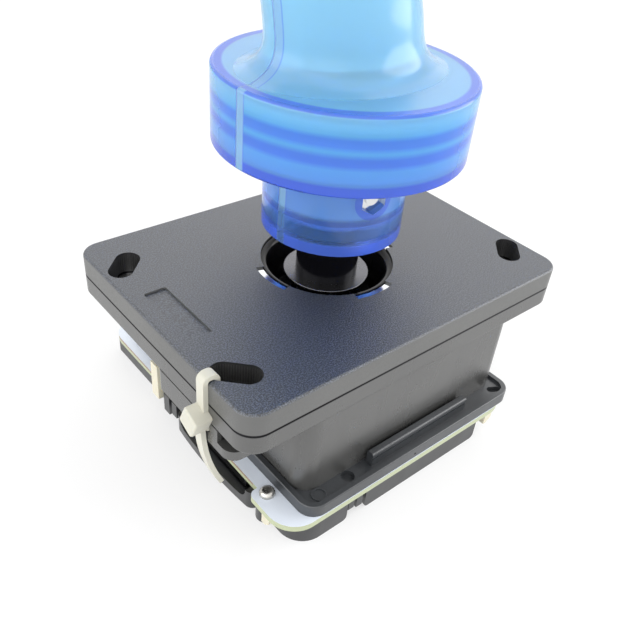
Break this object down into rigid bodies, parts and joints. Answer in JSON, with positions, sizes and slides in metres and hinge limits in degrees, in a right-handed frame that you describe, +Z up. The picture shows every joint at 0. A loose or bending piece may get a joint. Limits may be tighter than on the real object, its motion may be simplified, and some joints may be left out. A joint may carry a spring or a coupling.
{
  "type": "arcade joystick",
  "caption": "Panel-mount arcade joystick with a translucent two-shell hand grip on a spring-back two-axis gimbal, slotted plate, box housing, sensing board and lower pan.",
  "frame": {"origin": "stick axis at the top face of the mounting plate", "axes": "+X along the plate's long side, +Y along its short side, +Z up along the stick"},
  "size_m": [0.1, 0.0848, 0.1795],
  "materials": {
    "plate": "fine grained, satin",
    "housing_plastic": "smooth moulded",
    "tray_plastic": "smooth moulded",
    "pan_plastic": "smooth moulded",
    "board": "white solder mask, pale green edge",
    "chip": "moulded",
    "header": "moulded",
    "nylon": "natural nylon",
    "tie": "ivory nylon",
    "screw_steel": "satin",
    "bright_steel": "polished",
    "shaft_steel": "ground",
    "washer_steel": "satin",
    "black_gloss": "polished",
    "sleeve_black": "satin gloss",
    "grommet": "matte",
    "cup": "turned",
    "magnet": "nickel plated",
    "grip_blue": "translucent, smooth"
  },
  "bodies": {
    "base": {"top_plate": "plate", "lock_ring": "bright_steel", "housing": "housing_plastic", "base_tray": "tray_plastic", "control_board": "board", "tilt_sensor": "chip", "board_chips": "chip", "wire_header": "header", "lower_pan": "pan_plastic", "nylon_clips": "nylon", "cable_tie": "tie", "plate_screws": "screw_steel", "carrier_screws": "screw_steel", "gate_screws": "screw_steel", "base_screws": "screw_steel", "board_screws": "screw_steel", "gimbal_carrier": "black_gloss", "gate_plate": "black_gloss", "centring_grommet": "grommet"},
    "gimbal": {"gimbal_ring": "black_gloss", "pivot_pins": "screw_steel"},
    "stick": {"stick_hub": "black_gloss", "shaft": "shaft_steel", "shaft_sleeve": "sleeve_black", "dust_washer": "washer_steel", "magnet_cup": "cup", "magnet": "magnet", "grip_half_front": "grip_blue", "grip_half_rear": "grip_blue", "cross_screw": "bright_steel", "cross_nut": "bright_steel"}
  },
  "joints": [
    {"name": "tilt_sideways", "type": "hinge", "parent": "base", "child": "gimbal", "pos_m": [0, 0, -0.016], "axis": [1, 0, 0], "range_deg": [-11, 11], "stiffness_Nm_per_rad": 2.5},
    {"name": "tilt_lengthways", "type": "hinge", "parent": "gimbal", "child": "stick", "pos_m": [0, 0, -0.016], "axis": [0, 1, 0], "range_deg": [-11, 11], "stiffness_Nm_per_rad": 2.5, "deforming": ["centring_grommet"]}
  ]
}
